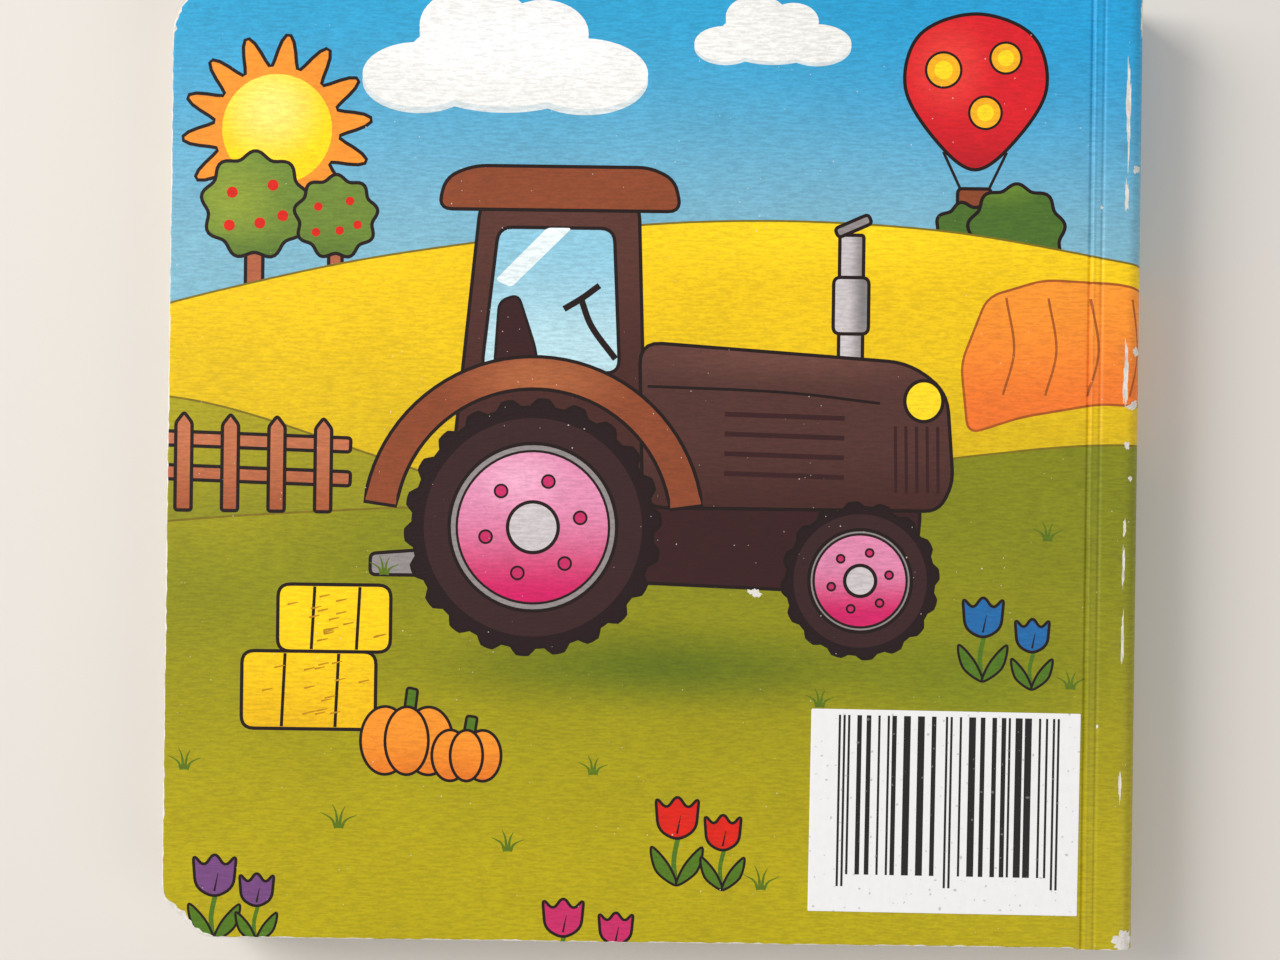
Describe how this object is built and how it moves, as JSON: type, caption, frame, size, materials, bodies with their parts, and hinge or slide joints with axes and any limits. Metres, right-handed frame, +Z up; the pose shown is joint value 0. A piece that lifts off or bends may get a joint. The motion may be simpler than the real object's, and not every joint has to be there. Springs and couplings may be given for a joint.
{
  "type": "board book",
  "caption": "Small square board book with thick glued leaves, creased card covers that swing open, a folded spine strip and a bar label.",
  "frame": {"origin": "under the middle of the book, on the surface it lies on", "axes": "+X from the fore edge to the spine, +Y from tail to head, +Z up from the front cover to the back cover"},
  "size_m": [0.138, 0.136, 0.0125],
  "materials": {
    "leaf_board": "white coated board, matt at the cut edges",
    "printed_card": "printed card under a satin laminate with a fine horizontal rib",
    "label_paper": "smooth white label paper"
  },
  "bodies": {
    "book_block": {"page_block": "leaf_board", "spine_wrap": "printed_card"},
    "back_panel": {"back_cover": "printed_card", "barcode_label": "label_paper"},
    "front_panel": {"front_cover": "printed_card"}
  },
  "joints": [
    {"name": "back_cover_hinge", "type": "hinge", "parent": "book_block", "child": "back_panel", "pos_m": [0.0624, 0, 0.0124], "axis": [0, 1, 0], "range_deg": [0, 175]},
    {"name": "front_cover_hinge", "type": "hinge", "parent": "book_block", "child": "front_panel", "pos_m": [0.0624, 0, 0], "axis": [0, -1, 0], "range_deg": [0, 175]}
  ]
}
